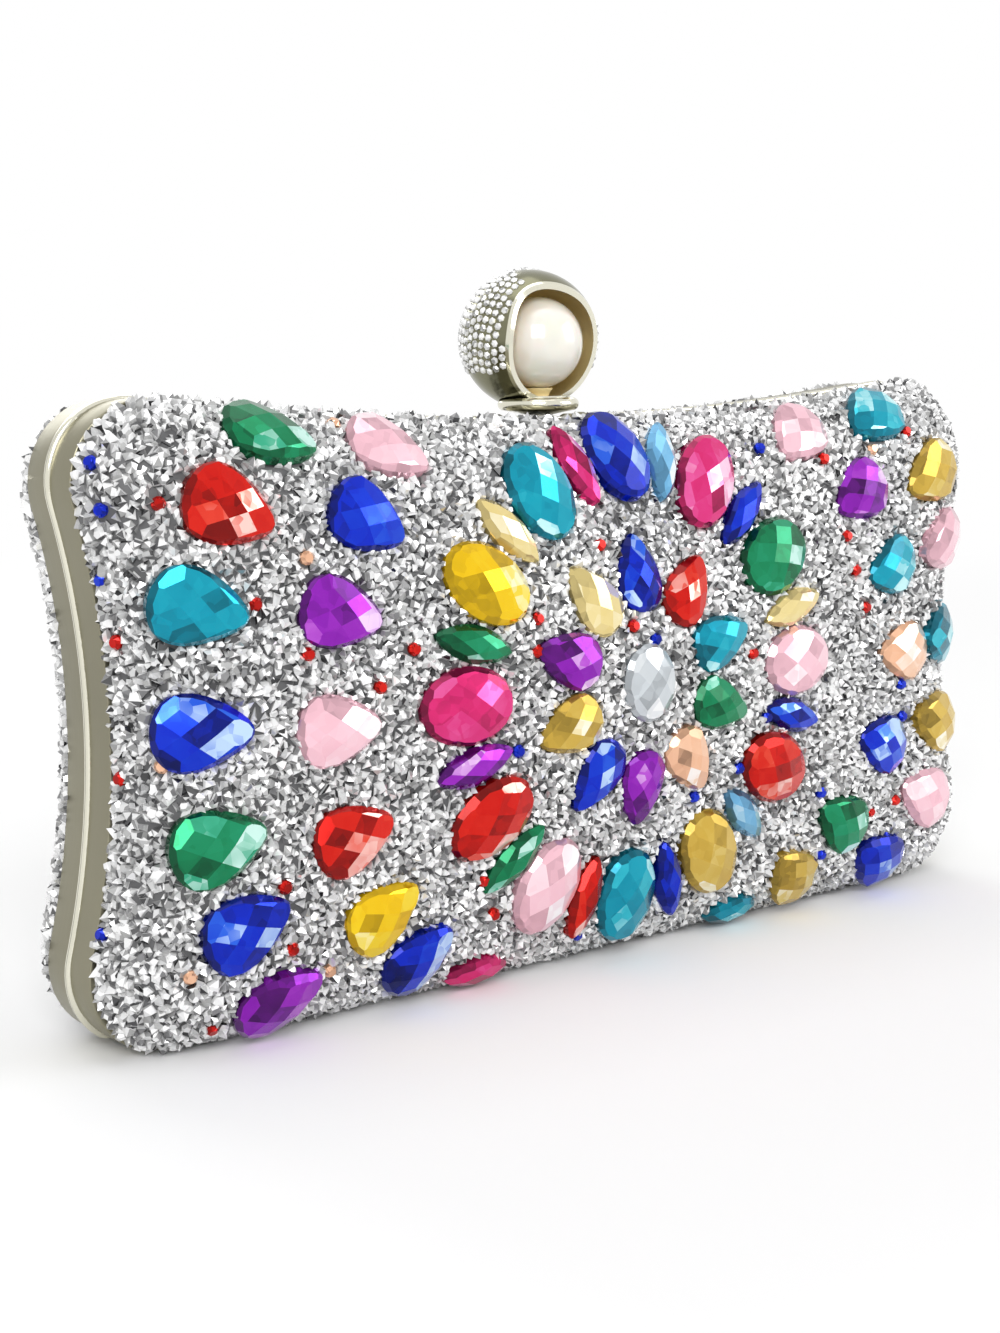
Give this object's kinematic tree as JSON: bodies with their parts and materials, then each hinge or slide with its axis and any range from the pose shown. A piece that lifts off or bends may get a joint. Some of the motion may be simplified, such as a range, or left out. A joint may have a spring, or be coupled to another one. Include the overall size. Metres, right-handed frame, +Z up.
{
  "type": "evening clutch",
  "caption": "Hard-shell evening clutch: two domed halves hinged along the base, crystal panels with coloured stones, metal band and a ball clasp with a pearl.",
  "frame": {"origin": "centre of the base, on the surface that the case stands on", "axes": "+X along the case to the right seen from the front, +Y towards the back, +Z up through the knob; the decorated front faces -Y"},
  "size_m": [0.2008, 0.0547, 0.1232],
  "materials": {
    "satin_silver": "satin silver plating with a warm tint",
    "bright_silver": "polished silver plating",
    "steel": "plain spring and sheet steel",
    "case_plastic": "moulded, hidden under crystals and lining",
    "crystals": "foil-backed silver crystals set close on mesh",
    "lining": "satin",
    "pearl": "pearl lacquer over a moulded bead",
    "stone_blue": "faceted, foil-backed",
    "stone_turquoise": "faceted, foil-backed",
    "stone_green": "faceted, foil-backed",
    "stone_red": "faceted, foil-backed",
    "stone_purple": "faceted, foil-backed",
    "stone_magenta": "faceted, foil-backed",
    "stone_pink": "faceted, foil-backed",
    "stone_peach": "faceted, foil-backed",
    "stone_gold": "faceted, foil-backed",
    "stone_yellow": "faceted, foil-backed",
    "stone_clear": "faceted, foil-backed"
  },
  "bodies": {
    "back_half": {"back_band": "satin_silver", "back_shell": "case_plastic", "back_crystals": "crystals", "back_lining": "lining", "back_hinge_leaf_left": "steel", "back_hinge_leaf_right": "steel", "hinge_pin_left": "steel", "hinge_pin_right": "steel", "clasp_bracket": "steel", "clasp_rivet_left": "satin_silver", "clasp_rivet_right": "satin_silver", "clasp_pin": "steel", "clasp_spring": "steel"},
    "front_half": {"front_band": "satin_silver", "front_shell": "case_plastic", "front_crystals": "crystals", "front_lining": "lining", "front_hinge_leaf_left": "steel", "front_hinge_leaf_right": "steel", "clasp_catch": "steel", "catch_rivet": "satin_silver", "centre_stone": "stone_clear", "inner_stone_01": "stone_blue", "inner_stone_02": "stone_red", "inner_stone_03": "stone_turquoise", "inner_stone_04": "stone_green", "inner_stone_05": "stone_peach", "inner_stone_06": "stone_purple", "inner_stone_07": "stone_blue", "inner_stone_08": "stone_gold", "inner_stone_09": "stone_purple", "inner_stone_10": "stone_gold", "outer_stone_01": "stone_blue", "outer_stone_02": "stone_magenta", "outer_stone_03": "stone_green", "outer_stone_04": "stone_pink", "outer_stone_05": "stone_red", "outer_stone_06": "stone_gold", "outer_stone_07": "stone_turquoise", "outer_stone_08": "stone_pink", "outer_stone_09": "stone_red", "outer_stone_10": "stone_magenta", "outer_stone_11": "stone_yellow", "outer_stone_12": "stone_turquoise"},
    "clasp": {"clasp_lever": "steel", "knob_foot": "bright_silver", "knob_ball": "bright_silver", "pearl_seat": "bright_silver", "knob_pearl": "pearl"}
  },
  "joints": [
    {"name": "lid_hinge", "type": "hinge", "parent": "back_half", "child": "front_half", "pos_m": [0, 0.0022, 0.0024], "axis": [1, 0, 0], "range_deg": [0, 80], "deforming": ["clasp_catch"]},
    {"name": "clasp_tilt", "type": "hinge", "parent": "back_half", "child": "clasp", "pos_m": [0, 0.006, 0.0917], "axis": [1, 0, 0], "range_deg": [-7, 0], "stiffness_Nm_per_rad": 0.08, "springref_deg": 5.73, "deforming": ["clasp_spring"]}
  ]
}
